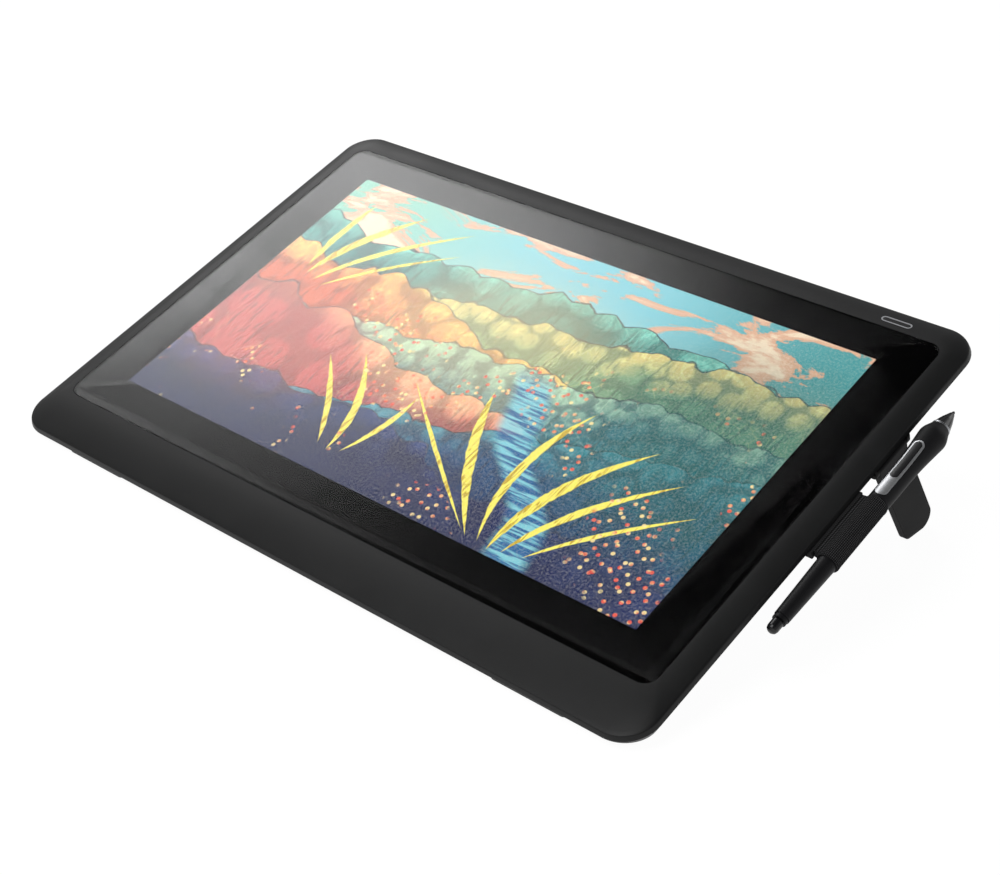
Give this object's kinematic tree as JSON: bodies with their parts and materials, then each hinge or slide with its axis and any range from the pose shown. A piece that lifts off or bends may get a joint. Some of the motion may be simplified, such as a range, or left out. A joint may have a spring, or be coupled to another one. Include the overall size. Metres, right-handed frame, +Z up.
{
  "type": "pen display",
  "caption": "Graphics tablet with a screen: a glass-fronted slab on fold-out legs, its pen held beside it in a ribbed elastic loop.",
  "frame": {"origin": "middle of the whole part's bounding box, on the ground under the tablet and its folded-out legs", "axes": "+Z up; +X to the user's right along the screen; +Y away from the user, towards the raised rear edge"},
  "size_m": [0.4342, 0.2658, 0.0977],
  "materials": {
    "bezel_black": "fine satin",
    "cover_black": "satin",
    "cover_glass": "etched, low gloss",
    "border_black": "printed",
    "screen": "lit panel",
    "white_plastic": "plain",
    "board_green": "solder resist",
    "pressed_aluminium": "mill",
    "steel": "plain",
    "brass": "knurled outside",
    "rubber_black": "matte",
    "rubber_grip": "soft satin",
    "knit_black": "ribbed elastic",
    "chip_black": "moulded",
    "cable_amber": "film",
    "light_guide": "frosted",
    "button_black": "satin",
    "pen_black": "gloss",
    "pen_metal": "bright satin",
    "nib_plastic": "plain",
    "coil_copper": "wound"
  },
  "bodies": {
    "tablet": {"front_bezel": "bezel_black", "rear_cover": "cover_black", "cover_glass": "cover_glass", "glass_border": "border_black", "screen_panel": "screen", "backlight_unit": "white_plastic", "digitizer_board": "board_green", "shield_plate": "pressed_aluminium", "panel_frame": "cover_black", "chassis": "pressed_aluminium", "main_board": "board_green", "board_chips": "chip_black", "shield_can": "steel", "standoffs": "steel", "port_connector": "steel", "cable_sockets": "white_plastic", "panel_cable": "cable_amber", "digitizer_cable": "cable_amber", "button_cable": "cable_amber", "light_ring": "light_guide", "push_switch": "chip_black", "button_board": "board_green", "stand_inserts": "brass", "front_feet": "rubber_black", "rear_pads": "rubber_black", "right_hinge_bracket": "steel", "left_hinge_bracket": "steel", "right_hinge_pin": "steel", "left_hinge_pin": "steel", "spare_nibs": "nib_plastic"},
    "right_leg": {"right_leg": "cover_black", "right_leg_sole": "rubber_black"},
    "left_leg": {"left_leg": "cover_black", "left_leg_sole": "rubber_black"},
    "power_button": {"power_button": "button_black"},
    "pen_loop": {"pen_loop": "knit_black", "loop_plug": "cover_black"},
    "pen": {"pen_nose": "pen_black", "pen_nose_ring": "pen_metal", "pen_grip": "rubber_grip", "pen_barrel": "pen_black", "pen_tail_ring": "pen_metal", "pen_core": "coil_copper", "pen_board": "board_green", "switch_frame": "pen_metal"},
    "pen_nib": {"pen_nib": "nib_plastic"},
    "pen_eraser": {"pen_eraser": "rubber_grip"},
    "side_switch": {"side_switch": "pen_black"}
  },
  "joints": [
    {"name": "right_leg_fold", "type": "hinge", "parent": "tablet", "child": "right_leg", "pos_m": [0.19272, 0.06802, 0.05734], "axis": [0, 0.9455, 0.3256], "range_deg": [0, 90]},
    {"name": "left_leg_fold", "type": "hinge", "parent": "tablet", "child": "left_leg", "pos_m": [-0.20808, 0.06802, 0.05734], "axis": [0, -0.9455, -0.3256], "range_deg": [0, 90]},
    {"name": "power_button_press", "type": "slide", "parent": "tablet", "child": "power_button", "axis": [0, 0.3256, -0.9455], "range_m": [0, 0.0006], "stiffness_N_per_m": 900},
    {"name": "loop_unplug", "type": "slide", "parent": "tablet", "child": "pen_loop", "axis": [1, 0, 0], "range_m": [0, 0.012]},
    {"name": "pen_pull", "type": "slide", "parent": "pen_loop", "child": "pen", "axis": [0, 0.9455, 0.3256], "range_m": [0, 0.09]},
    {"name": "nib_press", "type": "slide", "parent": "pen", "child": "pen_nib", "axis": [0, -0.9455, -0.3256], "range_m": [0, 0.0005], "stiffness_N_per_m": 800},
    {"name": "eraser_press", "type": "slide", "parent": "pen", "child": "pen_eraser", "axis": [0, 0.9455, 0.3256], "range_m": [0, 0.0007], "stiffness_N_per_m": 800},
    {"name": "side_switch_rock", "type": "hinge", "parent": "pen", "child": "side_switch", "pos_m": [0.21012, 0.05163, 0.06825], "axis": [1, 0, 0], "range_deg": [-1.5, 1.5], "stiffness_Nm_per_rad": 0.04}
  ]
}
